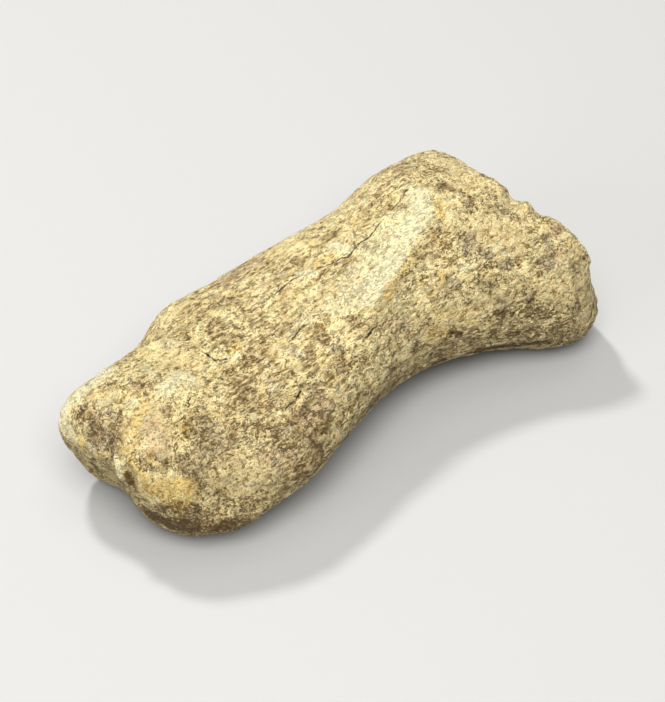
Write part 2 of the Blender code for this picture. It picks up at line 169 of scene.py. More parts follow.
# Colour: photograph pixels along each stroke, then radius in millimetres and strength.
PAINT = {
    # Cream on the bone's clean skin, and painted highlight along the far knuckle's left rim.
    "cream_and_highlight": (
        ((419, 194), (421, 212), (413, 229), (402, 240), (397, 254), (388, 265), (380, 276),
         (371, 287), (365, 298), 1.5, 1.0), ((352, 300), (335, 306), 1.5, 0.75),
        ((375, 240), (390, 222), 1.3, 0.7), ((401, 162), 0.8, 0.9), ((282, 274), 0.6, 0.7),
        ((503, 199), (505, 207), 0.8, 0.5), ((382, 301), 0.7, 0.55),
        ((410, 214), (392, 238), (374, 262), (356, 286), 1.9, 0.8),
        ((331, 244), (346, 249), 0.75, 1.0), ((300, 275), (313, 274), 0.7, 1.0),
        ((290, 350), (299, 354), 0.8, 0.65), ((272, 388), 0.6, 0.8), ((450, 212), 0.7, 0.85),
        ((465, 267), 0.65, 0.85), ((496, 247), (506, 254), 0.6, 0.8),
        ((166, 388), (180, 376), 1.0, 1.0), ((187, 375), (194, 382), 0.45, 1.1),
        ((152, 376), 0.5, 1.0), ((135, 403), 0.55, 0.85),
        ((115, 458), (118, 468), (120, 479), 0.42, 0.95), ((340, 400), 0.5, 0.7),
        # The second stroke here and the stroke on the next line are painted highlight along the
        # far knuckle's left rim.
        ((343, 435), 0.6, 0.7), ((66, 426), (72, 436), 0.8, 0.8),
        ((106, 373), (90, 384), (76, 396), (66, 407), (62, 420), 1.05, 1.2),
        ((233, 357), (238, 355), 0.3, 1.1), ((96, 455), (90, 446), 0.4, 0.8),
        ((150, 344), (178, 343), 0.6, 0.7), ((305, 320), (295, 336), 0.9, 0.6),
        ((380, 361), 0.45, 0.7), ((160, 455), 0.5, 0.6), ((338, 391), 0.42, 1.0),
        ((351, 381), 0.38, 1.0), ((384, 376), 0.42, 1.0), ((346, 434), 0.4, 0.8),
        # The second stroke here is painted highlight along the far knuckle's left rim.
        ((147, 369), 0.6, 0.8), ((64, 421), (72, 438), 1.0, 0.82),
        ((111, 396), (100, 404), 0.8, 0.7),
    ),
    "stain": (
        ((207, 424), (214, 448), 1.3, 0.7), ((188, 462), (199, 484), 0.9, 0.65),
        ((111, 413), 0.42, 1.2), ((110, 436), (112, 446), 0.4, 1.0), ((118, 447), 0.3, 0.9),
        ((80, 411), (84, 407), 0.45, 0.9), ((92, 430), (97, 440), 1.0, 0.6),
        ((303, 412), (310, 402), 0.7, 0.7), ((315, 393), 0.7, 0.8), ((280, 433), 0.7, 0.6),
        ((320, 445), 0.7, 0.7), ((295, 455), 0.8, 0.5), ((250, 388), 0.7, 0.6),
        ((232, 405), 0.7, 0.6), ((333, 349), (342, 350), 0.55, 1.0), ((255, 322), 0.6, 0.6),
        ((405, 322), 0.9, 0.5), ((415, 343), 1.0, 0.8), ((449, 284), (458, 284), 0.7, 0.9),
        ((469, 200), (467, 210), 0.6, 0.75), ((469, 238), (468, 250), 0.8, 0.8),
        ((484, 253), (490, 256), 0.5, 1.0), ((503, 266), (509, 264), 0.45, 1.0),
        ((480, 284), (490, 291), 0.6, 0.9), ((501, 304), (506, 314), 0.75, 1.0),
        ((546, 236), (551, 246), 0.36, 1.3), ((550, 252), (549, 268), 0.7, 0.8),
        ((530, 300), 0.8, 0.6), ((578, 302), (579, 312), 0.4, 0.9),
        ((573, 268), (576, 276), 0.4, 0.8), ((445, 185), 0.7, 0.8), ((456, 335), 0.8, 0.7),
        ((375, 247), 0.4, 0.6), ((294, 353), 0.45, 0.7), ((540, 262), 0.6, 0.7),
        ((197, 507), 0.7, 0.7), ((164, 508), 0.6, 0.6), ((92, 463), (95, 466), 0.35, 1.0),
    ),
    "ochre": (
        ((438, 203), (441, 216), 0.6, 0.9), ((416, 246), (408, 262), (400, 275), 0.5, 0.9),
        ((391, 285), (387, 298), 0.6, 1.0), ((163, 489), (186, 487), 1.1, 1.0),
        ((152, 456), 0.8, 0.5), ((195, 491), 0.6, 0.9), ((135, 470), (131, 460), 0.6, 0.9),
        ((183, 428), (186, 436), 0.6, 0.7), ((127, 448), (134, 425), (142, 408), 0.9, 0.55),
        ((98, 400), (92, 396), 0.7, 0.4), ((232, 352), 0.6, 0.8), ((430, 335), 1.0, 0.6),
        ((458, 316), (448, 312), 0.6, 0.35), ((445, 280), (441, 274), 0.4, 1.0),
        ((330, 260), (318, 262), 0.9, 0.4), ((420, 240), 0.8, 0.5),
        ((180, 504), (165, 497), 0.8, 0.8), ((370, 218), (332, 234), (312, 244), 1.2, 0.35),
        ((78, 440), (74, 446), 0.7, 0.6), ((104, 400), (122, 396), 0.8, 0.55),
        ((190, 504), 0.7, 0.8), ((235, 345), (230, 350), 0.8, 0.7), ((386, 207), 0.8, 0.6),
        ((150, 490), (145, 478), 0.7, 0.8), ((375, 308), (362, 304), 0.9, 0.45),
    ),
    "mauve": (
        ((152, 425), (158, 446), 1.2, 0.9), ((168, 408), 0.6, 0.8), ((135, 385), 0.9, 0.7),
        ((347, 263), (352, 274), 1.1, 0.7), ((362, 322), 0.8, 0.7), ((395, 325), 1.0, 0.6),
        ((280, 275), (262, 285), 1.0, 0.5), ((540, 312), 0.8, 0.8), ((100, 425), 1.2, 0.7),
        ((250, 264), (222, 280), 1.7, 0.75), ((300, 420), (324, 404), 1.5, 0.7),
        ((223, 440), 1.0, 0.6), ((552, 226), (556, 232), 0.9, 0.8),
        ((268, 456), (290, 461), 1.2, 0.75), ((560, 256), 0.9, 0.8),
    ),
    "umber_and_shade": (
        # Dark brown stains, and painted shade: the strokes that run along the lowest edges, below
        # the near knuckle and below the neck and the near end.
        ((152, 515), (171, 524), (190, 527), 1.05, 1.6), ((193, 518), 0.6, 1.1),
        ((216, 529), (234, 522), 0.7, 1.25), ((434, 363), (446, 360), 0.42, 1.0),
        ((470, 353), (492, 348), (511, 346), (546, 341), 0.5, 1.15),
        ((128, 474), (131, 482), 0.36, 1.5), ((92, 463), (96, 467), 0.3, 1.2),
        ((170, 518), (186, 523), 0.5, 0.7), ((205, 524), (228, 523), 0.5, 0.7),
        ((196, 507), 0.5, 0.7), ((80, 411), (83, 407), 0.35, 0.8), ((91, 430), 0.5, 0.5),
        ((206, 448), 0.7, 0.45), ((193, 474), 0.5, 0.6), ((185, 431), (189, 438), 0.3, 1.1),
        ((460, 336), (450, 333), 0.6, 0.7), ((506, 312), 0.6, 0.6),
        ((579, 304), (579, 312), 0.35, 0.4), ((305, 408), 0.5, 0.6), ((416, 346), 0.6, 0.6),
    ),
    # Places kept free of dirt, and painted highlight along the far knuckle's left rim and on low
    # parts of the knuckles.
    "clean_and_highlight": (
        ((262, 252), 1.6, 0.6), ((440, 160), (478, 186), 1.6, 0.7),
        ((505, 200), (540, 228), 1.2, 0.6), ((450, 200), (452, 222), 1.6, 0.7),
        ((480, 225), (515, 240), 2.0, 0.8), ((438, 285), (470, 268), 1.4, 0.6),
        ((545, 285), (565, 265), 1.6, 0.7), ((470, 318), (440, 322), 1.3, 0.6),
        ((425, 300), (410, 318), 1.2, 0.6), ((148, 352), (190, 362), 1.3, 0.8),
        ((130, 420), (125, 446), 1.0, 0.8), ((150, 405), (156, 452), 1.6, 0.7),
        ((148, 484), (185, 490), 1.4, 1.0), ((82, 440), (86, 452), 0.9, 0.8),
        ((144, 490), (152, 496), 1.0, 0.9), ((98, 399), (112, 396), 1.0, 0.8),
        ((240, 488), (264, 474), 1.3, 0.9), ((576, 285), (574, 294), 0.8, 0.8),
        ((455, 186), (470, 190), 0.9, 0.7), ((488, 300), (505, 294), 1.0, 0.7),
        ((552, 292), (560, 300), 0.9, 0.8), ((366, 332), (374, 326), 0.9, 0.8),
        ((245, 378), 0.8, 0.6), ((317, 328), 0.8, 0.7), ((287, 336), (274, 356), 0.9, 0.6),
        ((326, 237), (264, 257), 1.0, 0.7), ((392, 205), 0.8, 0.6), ((133, 469), 0.5, 0.9),
        ((177, 470), 0.8, 0.6), ((378, 316), (382, 300), (400, 307), 1.0, 1.0),
        ((296, 365), 0.8, 0.8), ((325, 364), 0.8, 0.9), ((394, 291), 0.8, 0.8),
        ((480, 304), (516, 300), 1.0, 0.9), ((548, 298), (570, 288), 1.0, 0.9),
        ((491, 278), 0.7, 0.8), ((401, 361), 0.7, 0.7), ((453, 355), 0.8, 1.0),
        # Painted highlight on low parts of the knuckles that face left.
        ((132, 470), 0.5, 1.0), ((76, 453), 0.8, 1.0), ((147, 492), 0.8, 1.0),
        ((400, 283), 0.8, 0.8), ((386, 310), 0.7, 1.0), ((103, 467), 0.7, 1.0),
        ((476, 325), 0.8, 0.9), ((496, 188), (508, 196), 0.8, 0.8),
        ((566, 236), (578, 250), 0.8, 0.8), ((393, 165), (410, 160), 1.0, 1.2),
        ((494, 254), (502, 258), 0.7, 0.8), ((583, 290), (582, 304), 0.7, 0.9),
        ((430, 308), (438, 312), 0.8, 0.8), ((282, 300), (290, 297), 1.0, 0.7),
        ((314, 266), (324, 262), 1.0, 0.7), ((168, 322), (186, 304), 1.0, 0.7),
        ((276, 488), 0.8, 0.6), ((384, 376), 0.8, 0.9), ((450, 312), (474, 316), 1.0, 0.9),
        ((425, 336), (440, 334), 1.0, 0.9), ((478, 333), (492, 332), 0.8, 0.8),
        ((434, 250), (432, 262), 1.0, 0.7), ((336, 394), (342, 388), 0.9, 0.8),
        ((130, 388), 0.7, 0.6), ((341, 436), 0.9, 1.0),
        ((580, 275), (582, 292), (584, 324), 0.8, 0.9), ((149, 369), (156, 366), 0.8, 0.8),
        ((554, 298), 0.8, 0.9), ((460, 315), 0.9, 0.9), ((473, 247), 0.8, 0.8),
        ((502, 193), 0.8, 0.9), ((274, 491), 0.8, 0.8), ((215, 480), (245, 462), 1.6, 0.6),
        # The first stroke here is painted highlight along the far knuckle's left rim.
        ((68, 405), (66, 425), (74, 442), 0.9, 0.9), ((118, 474), (112, 478), 0.7, 0.9),
        ((100, 464), (108, 470), 0.7, 0.8), ((300, 300), (330, 290), 1.8, 0.6),
        ((360, 335), (340, 330), 1.2, 0.6), ((530, 268), (520, 280), 1.2, 0.6),
    ),
    "gouged": (
        ((498, 314), (526, 311), (548, 313), 1.7, 1.0),
        ((450, 337), (480, 334), (520, 334), (562, 328), 1.15, 1.0),
        ((574, 264), (584, 288), (585, 318), 1.0, 0.55),
        ((354, 424), (372, 404), (402, 376), (440, 353), 1.1, 0.4),
        ((445, 334), (470, 334), 0.8, 0.7), ((540, 250), (552, 268), 0.8, 0.5),
        ((205, 428), (198, 470), 0.9, 0.4), ((96, 425), (104, 445), 0.9, 0.5),
        ((180, 520), (226, 524), 0.6, 0.8),
    ),
    "grime_and_shade": (
        # Brownish grime, and painted shade along the lowest edges: below the near knuckle, the
        # flank, the neck and the near end.
        ((322, 385), (300, 400), 1.6, 0.35), ((250, 392), (259, 425), 1.5, 0.75),
        ((297, 423), (308, 418), 1.3, 0.75), ((324, 404), 0.9, 0.7),
        ((281, 396), (268, 402), 1.1, 0.75), ((282, 434), (304, 440), 1.3, 0.7),
        ((325, 420), (317, 446), 1.2, 0.95), ((330, 449), (303, 470), 1.0, 0.95),
        ((259, 501), (270, 494), 0.8, 0.6), ((308, 362), 0.9, 0.6), ((343, 365), 0.9, 0.6),
        ((146, 512), (190, 530), (242, 524), 1.1, 1.1), ((168, 522), (186, 528), 0.9, 1.3),
        ((163, 509), (180, 509), (196, 516), 0.9, 1.1), ((195, 318), (225, 302), 1.4, 0.4),
        ((215, 323), (220, 338), (234, 339), 0.9, 0.75), ((380, 394), (366, 411), 0.8, 1.1),
        ((206, 469), 0.7, 0.6), ((238, 451), 1.1, 0.35), ((200, 345), 0.7, 0.4),
        ((229, 315), (254, 310), (262, 326), 0.9, 0.35), ((286, 387), 0.7, 0.6),
        ((326, 391), 0.7, 0.6), ((164, 405), 0.6, 0.6), ((109, 372), 0.7, 0.5),
        ((134, 487), 0.6, 0.8), ((404, 375), 0.6, 0.9), ((196, 416), 0.8, 0.5),
        ((410, 373), (426, 365), 0.8, 0.4), ((480, 351), (512, 345), (548, 342), 0.7, 1.1),
        ((445, 336), (500, 338), (560, 331), 0.8, 0.12),
        ((250, 350), (270, 370), (236, 374), 1.4, 0.5), ((263, 383), 1.0, 0.5),
        ((223, 418), (241, 437), 1.0, 0.5), ((167, 410), 0.8, 0.6),
        ((147, 458), (162, 465), 0.9, 0.75), ((131, 489), 0.6, 0.6), ((174, 444), 0.8, 0.5),
        ((203, 401), 0.8, 0.5), ((110, 388), 0.8, 0.5), ((381, 342), 0.8, 0.5),
        ((358, 403), (366, 388), 0.8, 0.7), ((329, 453), (308, 476), 0.7, 1.1),
        ((117, 450), (116, 423), 0.9, 0.75), ((81, 416), 0.6, 0.7),
        ((518, 241), (502, 240), 1.2, 0.55), ((559, 229), 0.7, 0.6), ((241, 509), 0.9, 0.6),
        ((532, 306), (545, 316), 1.2, 0.35), ((97, 414), (97, 440), 1.2, 0.4),
        ((205, 430), (198, 484), 1.5, 0.25), ((177, 461), 0.8, 0.6), ((114, 454), 0.7, 0.75),
        ((539, 270), 0.9, 0.6), ((532, 236), 0.9, 0.6), ((331, 407), 0.9, 0.6),
        ((441, 170), 0.9, 0.6), ((208, 514), 0.8, 0.9), ((428, 249), 0.8, 0.6),
        ((362, 262), 0.7, 0.35), ((229, 405), 0.8, 0.5), ((248, 275), 0.8, 0.5),
        ((359, 326), 0.7, 0.5), ((149, 411), 0.6, 0.5), ((131, 421), 0.6, 0.5),
        ((189, 426), 0.7, 0.6), ((348, 273), 0.7, 0.5), ((521, 219), 0.8, 0.5),
        ((379, 395), 0.6, 1.2), ((427, 244), (424, 258), 0.8, 0.25), ((148, 386), 0.9, 0.5),
        ((318, 330), (324, 338), 0.7, 1.0), ((128, 474), (131, 482), 0.36, 1.2),
        ((172, 520), (226, 526), 0.9, 1.0), ((445, 186), (452, 188), 0.8, 0.7),
        ((470, 240), (480, 262), 1.3, 0.25), ((96, 468), (101, 472), 0.3, 1.0),
        ((583, 316), (574, 330), 0.6, 0.3), ((225, 440), 1.0, 0.25),
        ((250, 264), (222, 280), 1.6, 0.35),
    ),
}
# A stroke is whole up to the first of these shares of its radius, and gone at the second.
STROKE_WHOLE, STROKE_GONE = 0.4, 1.4
# Painted shade, laid into the grime mask by which way the surface faces: none on the top, most on
# the sides, and more again underneath.
SHADE_ON_SIDES, SHADE_UNDERNEATH = 0.22, 0.10

# Weathering, coarse to fine: the texture's name, kind and noise, its size in millimetres, how
# far it is drawn out along the bone, and its depth in millimetres.
WEATHER = (
    ("bumps", "CLOUDS", "SOFT_NOISE", 3.2, 1.0, 0.30),
    ("creases", "CLOUDS", "HARD_NOISE", 1.5, 1.4, 0.18),
    ("fibres", "CLOUDS", "HARD_NOISE", 0.75, 2.2, 0.18),
    ("pits", "STUCCI", "SOFT_NOISE", 0.70, 1.3, 0.14),
)
# Shares of these depths: on the shaft, and how much more on the near flank and at the ends.
ON_SHAFT, ON_FLANK, AT_ENDS = 0.55, 0.35, 0.45
# Relief this deep, in millimetres, counts as one for the dirt and the wear.
FULL_RELIEF = 0.05
RELIEF_ROUNDS = 14

# The grain is drawn out this much at the ends and this much more on the shaft. It changes
# between these distances from the middle of the bone, in millimetres.
GRAIN_AT_ENDS, GRAIN_ON_SHAFT = 1.1, 0.9
SHAFT_END, GRAIN_END = 9.0, 19.0

# Lights: name, place in metres, width in metres and power in watts.
LIGHTS = (
    ("key light", (0.02, 0.25, 0.38), 0.06, 2.15),
    ("top light", (0.10, 0.0, 0.60), 0.4, 0.9),
    ("front light", (-0.180, -0.230, 0.475), 0.4, 5.30),
    ("side light", (-0.380, 0.000, 0.150), 0.3, 0.75),
)
LIGHTS_AIM = Vector((0.0, 0.0, 0.01))
ROOM_LIGHT = 0.30
FLOOR_SIZE = 6.0
FLOOR_GREY = (0.285, 0.282, 0.274, 1.0)

# Colours, as shares of the light that comes back.
TAN = (0.835, 0.632, 0.268, 1.0)
HONEY = (0.800, 0.572, 0.195, 1.0)
STRAW = (0.900, 0.752, 0.382, 1.0)
PALE_FLECK = (0.930, 0.825, 0.470, 1.0)
CREAM = (0.835, 0.768, 0.465, 1.0)
CHALK = (0.895, 0.848, 0.575, 1.0)
# Dun, and the clay veil below, are laid by the grime mask, so they also lay painted shade on the
# sides, underneath and along the lowest edges.
DUN = (0.480, 0.325, 0.150, 1.0)
UMBER = (0.230, 0.140, 0.034, 1.0)
# Deep brown: dark stains, and painted shade along the lowest edges.
DEEP_BROWN = (0.120, 0.076, 0.030, 1.0)
DARK_BROWN = (0.085, 0.047, 0.011, 1.0)
CRACK_BLACK = (0.045, 0.029, 0.013, 1.0)
# Veils, which multiply what lies under them.
OCHRE = (1.000, 0.882, 0.580, 1.0)
MAUVE = (0.800, 0.735, 0.800, 1.0)
CLAY = (0.680, 0.605, 0.555, 1.0)
SMOKE = (0.600, 0.610, 0.720, 1.0)


def camera_axes():
    """Directions of the camera: backwards, to the right and upwards."""
    back = Vector((
        math.sin(VIEW_TURN) * math.cos(VIEW_RISE),
        -math.cos(VIEW_TURN) * math.cos(VIEW_RISE),
        math.sin(VIEW_RISE),
    ))
    right = Vector((math.cos(VIEW_TURN), math.sin(VIEW_TURN), 0.0))
    return back, right, back.cross(right)


def make_camera():
    back, _, _ = camera_axes()
    data = bpy.data.cameras.new("camera")
    data.sensor_width = SENSOR_SIZE
    data.lens = FOCAL_PIXELS / LONGER_SIDE * SENSOR_SIZE
    data.shift_x = (FRAME_WIDTH / 2 - AIM_PIXEL[0]) / LONGER_SIDE
    data.shift_y = (AIM_PIXEL[1] - FRAME_HEIGHT / 2) / LONGER_SIDE
    data.clip_start, data.clip_end = 0.01, 20.0
    camera = bpy.data.objects.new("camera", data)
    bpy.context.scene.collection.objects.link(camera)
    camera.location = AIM + back * VIEW_DISTANCE
    camera.rotation_euler = (-back).to_track_quat("-Z", "Y").to_euler()
    bpy.context.scene.camera = camera


def only(piece):
    """Selects this piece alone."""
    bpy.ops.object.select_all(action="DESELECT")
    piece.select_set(True)
    bpy.context.view_layer.objects.active = piece


def apply(piece, modifier):
    only(piece)
    bpy.ops.object.modifier_apply(modifier=modifier.name)


def bone_skin():
    """A copy of the solid with a fine, even, smooth surface."""
    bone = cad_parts["toe_bone"].copy()
    bone.data = bone.data.copy()
    bone.name = "fossil_toe_bone"
    bpy.context.scene.collection.objects.link(bone)
    bone.parent = None
    only(bone)
    bpy.ops.object.mode_set(mode="EDIT")
    bpy.ops.mesh.select_all(action="SELECT")
    bpy.ops.mesh.remove_doubles(threshold=SAME_CORNER)
    bpy.ops.object.mode_set(mode="OBJECT")
    rounder = bone.modifiers.new("rounder", "SUBSURF")
    rounder.levels = rounder.render_levels = 2
    apply(bone, rounder)
    even = bone.modifiers.new("even", "REMESH")
    even.mode = "VOXEL"
    even.voxel_size = SKIN_STEP * MM
    even.use_smooth_shade = True
    apply(bone, even)
    soften = bone.modifiers.new("soften", "SMOOTH")
    soften.factor = 0.5
    soften.iterations = SOFTEN_ROUNDS
    apply(bone, soften)
    return bone


def read_surface(bone):
    """Vertex places in millimetres, and vertex normals."""
    count = len(bone.data.vertices)
    places, normals = np.empty(count * 3), np.empty(count * 3)
    bone.data.vertices.foreach_get("co", places)
    bone.data.vertices.foreach_get("normal", normals)
    return places.reshape(-1, 3) / MM, normals.reshape(-1, 3)


def write_surface(bone, places):
    bone.data.vertices.foreach_set("co", (places * MM).ravel())
    bone.data.update()


def keep(bone, name, values):
    """Stores one number, or one place, per vertex, which the material reads by name."""
    if values.ndim == 1:
        field = bone.data.attributes.new(name, "FLOAT", "POINT")
        field.data.foreach_set("value", values.astype(np.float32))
    else:
        field = bone.data.attributes.new(name, "FLOAT_VECTOR", "POINT")
        field.data.foreach_set("vector", values.astype(np.float32).ravel())


def ramp(value, low, high):
    """0 below low, 1 above high, and smooth between them."""
    t = np.clip((value - low) / (high - low), 0.0, 1.0)
    return t * t * (3.0 - 2.0 * t)


class Seen:
    """Finds the place on the bone that shows at a pixel of the photograph."""

    def __init__(self, bone):
        corners = [tuple(v.co) for v in bone.data.vertices]
        faces = [tuple(p.vertices) for p in bone.data.polygons]
        self.tree = BVHTree.FromPolygons(corners, faces)

    def at(self, pixel):
        back, right, up = camera_axes()
        across = (pixel[0] - AIM_PIXEL[0]) / FOCAL_PIXELS
        rise = (AIM_PIXEL[1] - pixel[1]) / FOCAL_PIXELS
        sight = (right * across + up * rise - back).normalized()
        hit, _, _, _ = self.tree.ray_cast(AIM + back * VIEW_DISTANCE, sight)
        return None if hit is None else np.array(hit) / MM

    def path(self, pixels):
        found = [self.at(p) for p in pixels]
        return [p for p in found if p is not None]


class Trail:
    """A path of straight steps over the surface: how far each vertex is from it, how far
    along it, and how far to its left or right."""

    def __init__(self, places, normals, path):
        self.away = np.full(len(places), FAR_AWAY)
        self.along = np.zeros(len(places))
        self.side = np.full(len(places), FAR_AWAY)
        if len(path) == 1:
            self.away = np.linalg.norm(places - path[0], axis=1)
        lengths = [np.linalg.norm(b - a) for a, b in zip(path, path[1:])]
        gone = 0.0
        for start, end, length in zip(path, path[1:], lengths):
            step = (end - start) / length
            reach = np.clip((places - start) @ step, 0.0, length)
            from_path = places - start - reach[:, None] * step
            away = np.linalg.norm(from_path, axis=1)
            closer = away < self.away
            across = np.cross(step, normals[closer])
            across /= np.maximum(np.linalg.norm(across, axis=1), 1e-6)[:, None]
            self.away[closer] = away[closer]
            self.along[closer] = (gone + reach[closer]) / sum(lengths)
            self.side[closer] = (from_path[closer] * across).sum(axis=1)
            gone += length


def shape_forms(bone, seen):
    """The crest, hollows, bosses, nicks and lobes. Dirt lies in the narrow hollows."""
    places, normals = read_surface(bone)
    lift = np.zeros(len(places))
    hollow = np.zeros(len(places))
    for *pixels, radius, height, steepness in RELIEF.values():
        away = Trail(places, normals, seen.path(pixels)).away
        form = np.exp(-((away / radius) ** steepness))
        lift += height * form
        if height < 0.0 and radius < NARROW:
            hollow = np.maximum(hollow, form)
    write_surface(bone, places + normals * lift[:, None])
    keep(bone, "hollow", hollow)


def smooth_over(bone, values, rounds):
    """Each vertex's value, averaged with its neighbours' again and again."""
    count = len(values)
    pairs = np.empty(len(bone.data.edges) * 2, dtype=np.int64)
    bone.data.edges.foreach_get("vertices", pairs)
    one, two = pairs.reshape(-1, 2).T
    share = 1.0 + np.bincount(one, minlength=count) + np.bincount(two, minlength=count)
    for _ in range(rounds):
        total = np.bincount(one, values[two], count) + np.bincount(two, values[one], count)
        values = (values + total) / share
    return values


def mark_rough(bone, places):
    """A vertex group that weathers the ends and the near flank more than the shaft."""
    rough = ON_SHAFT + AT_ENDS * ramp(np.abs(places[:, 0]), 8.0, 18.0)
    near_flank = ramp(-places[:, 1] - 0.4 * places[:, 2], -2.0, 3.0)
    rough = np.maximum(rough, ON_SHAFT + ON_FLANK * near_flank)
    weights = bone.vertex_groups.new(name="rough")
    tenths = np.rint(rough * 10).astype(int)
    for level in np.unique(tenths):
        members = np.flatnonzero(tenths == level)
        weights.add(members.tolist(), level / 10, "REPLACE")


def weather(bone):
    """Low bumps, creases, fibres and pits all over. Keeps where the surface lies lower or
    higher than round about, for the dirt and the wear."""
    places, normals = read_surface(bone)
    mark_rough(bone, places)
    guide = bpy.data.objects.new("grain guide", None)
    bpy.context.scene.collection.objects.link(guide)
    for name, kind, noise, size, stretch, depth in WEATHER:
        texture = bpy.data.textures.new(name, kind)
        texture.noise_scale = size
        texture.noise_type = noise
        if kind == "CLOUDS":
            texture.noise_depth = 2
        guide.scale = (stretch * MM, MM, MM)
        bpy.context.view_layer.update()
        press = bone.modifiers.new(name, "DISPLACE")
        press.texture = texture
        press.texture_coords = "OBJECT"
        press.texture_coords_object = guide
        press.strength = depth * MM
        press.mid_level = 0.5
        press.vertex_group = "rough"
        apply(bone, press)
    bpy.data.objects.remove(guide, do_unlink=True)
    bone.vertex_groups.clear()
    weathered, _ = read_surface(bone)
    height = ((weathered - places) * normals).sum(axis=1)
    keep(bone, "relief", (height - smooth_over(bone, height, RELIEF_ROUNDS)) / FULL_RELIEF)


def crack(bone, seen):
    """Presses the cracks in, and keeps how far each vertex is from the middle of the nearest
    one and how wide that one is there, so that the material draws it thinner than a face."""
    places, normals = read_surface(bone)
    sink = np.zeros(len(places))
    nearest = np.full(len(places), FAR_AWAY)
    side = np.full(len(places), FAR_AWAY)
    width = np.zeros(len(places))
    tone = np.zeros(len(places))
    for name, (*pixels, half_width, depth) in CRACKS.items():
        trail = Trail(places, normals, seen.path(pixels))
        taper = np.clip(5.0 * trail.along * (1.0 - trail.along), 0.0, 1.0) ** 0.5
        filled = "slit" in name or "gouge" in name
        closer = trail.away < nearest
        nearest[closer] = trail.away[closer]
        side[closer] = trail.side[closer]
        tone[closer] = FILLED_TONE if filled else OPEN_TONE
        drawn = half_width * taper * (1.0 - ramp(trail.away, *CRACK_REACH))
        width[closer] = drawn[closer]
        sink = np.maximum(sink, depth * taper * np.exp(-((trail.away / CRACK_SLOPE) ** 2)))
    write_surface(bone, places - normals * sink[:, None])
    keep(bone, "crack_side", np.clip(side, -2.0, 2.0))
    keep(bone, "crack_width", width)
    keep(bone, "crack_tone", tone)


def paint(bone, seen):
    """Keeps soft strokes of each colour, whose edges the material makes ragged."""
    places, normals = read_surface(bone)
    for name, strokes in PAINT.items():
        mask = np.zeros(len(places))
        # Painted shade: the sides and the underside start darker, by which way each vertex faces.
        if name == "grime_and_shade":
            mask += SHADE_ON_SIDES * ramp(-normals[:, 2], -0.80, -0.05)
            mask += SHADE_UNDERNEATH * ramp(-normals[:, 2], -0.30, 0.30)
        for *pixels, radius, strength in strokes:
            away = Trail(places, normals, seen.path(pixels)).away
            stroke = 1.0 - ramp(away, STROKE_WHOLE * radius, STROKE_GONE * radius)
            mask = np.maximum(mask, strength * stroke)
        keep(bone, name, mask)


def find_unseen(bone):
    """The sides that the photograph doesn't show get more loose spots of every colour."""
    _, normals = read_surface(bone)
    back, _, _ = camera_axes()
    keep(bone, "unseen", 1.0 - ramp(normals @ np.array(back), -0.05, 0.35))


def lay_grain(bone):
    """A place for each vertex in which the shaft is shortened, so that the grain drawn on it
    comes out long on the shaft and even at the ends."""
    places, _ = read_surface(bone)
    steps, step = np.linspace(-30.0, 30.0, 601, retstep=True)
    stretch = GRAIN_AT_ENDS + GRAIN_ON_SHAFT * ramp(-np.abs(steps), -GRAIN_END, -SHAFT_END)
    run = np.concatenate(([0.0], np.cumsum(step / stretch[1:])))
    places[:, 0] = np.interp(places[:, 0], steps, run)
    keep(bone, "grain_place", places)


def stand_on_floor(bone):
    """Nothing reaches below the floor."""
    places, _ = read_surface(bone)
    places[:, 2] = np.maximum(places[:, 2], 0.0)
    write_surface(bone, places)


class Nodes:
    """Adds nodes to a tree, each in the column after the nodes that feed it."""

    COLUMN, ROW = 200, 160

    def __init__(self, tree):
        self.tree = tree
        self.filled = {}

    def add(self, kind, feeds=None, **settings):
        """A new node with these settings. A feed is a number, a colour or another node's
        output, and goes to the socket of that name or number."""
        node = self.tree.nodes.new(kind)
        for name, value in settings.items():
            setattr(node, name, value)
        column = 0
        for socket, value in (feeds or {}).items():
            if isinstance(value, (int, float, tuple)):
                node.inputs[socket].default_value = value
            else:
                self.tree.links.new(value, node.inputs[socket])
                column = max(column, round(value.node.location.x / self.COLUMN) + 1)
        row = self.filled[column] = self.filled.get(column, -1) + 1
        node.location = (column * self.COLUMN, -row * self.ROW)
        return node

    def work(self, operation, first, second=None, clamp=False):
        """One sum, which may come out at any size."""
        feeds = {0: first} if second is None else {0: first, 1: second}
        node = self.add("ShaderNodeMath", feeds, operation=operation, use_clamp=clamp)
        return node.outputs[0]

    def share(self, operation, first, second):
        """One sum, kept between 0 and 1."""
        return self.work(operation, first, second, clamp=True)

    def part(self, mask, strength):
        """A mask at this strength."""
        return self.share("MULTIPLY", mask, strength)

    def most(self, first, *others):
        """The strongest of some masks."""
        for other in others:
            first = self.share("MAXIMUM", first, other)
        return first

    def rest(self, mask):
        """What a mask leaves free."""
        return self.work("SUBTRACT", 1.0, mask)

    def between(self, value, low, high):
        """0 below low, 1 above high, and smooth between them."""
        feeds = {"Value": value, "From Min": low, "From Max": high}
        node = self.add("ShaderNodeMapRange", feeds, interpolation_type="SMOOTHSTEP")
        return node.outputs["Result"]

    def move(self, operation, first, second):
        """One sum of two places, or of a place and a scale."""
        feeds = {0: first, "Scale" if operation == "SCALE" else 1: second}
        return self.add("ShaderNodeVectorMath", feeds, operation=operation).outputs["Vector"]

    def noise(self, place, scale, detail, roughness, distortion=0.0):
        feeds = {"Vector": place, "Scale": scale, "Detail": detail,
                 "Roughness": roughness, "Distortion": distortion}
        return self.add("ShaderNodeTexNoise", feeds).outputs

    def cells(self, place, scale, feature="F1"):
        feeds = {"Vector": place, "Scale": scale}
        return self.add("ShaderNodeTexVoronoi", feeds, feature=feature).outputs

    def chance(self, cells):
        """A number for each cell, from its random colour."""
        return self.add("ShaderNodeSeparateColor", {"Color": cells["Color"]}).outputs[0]


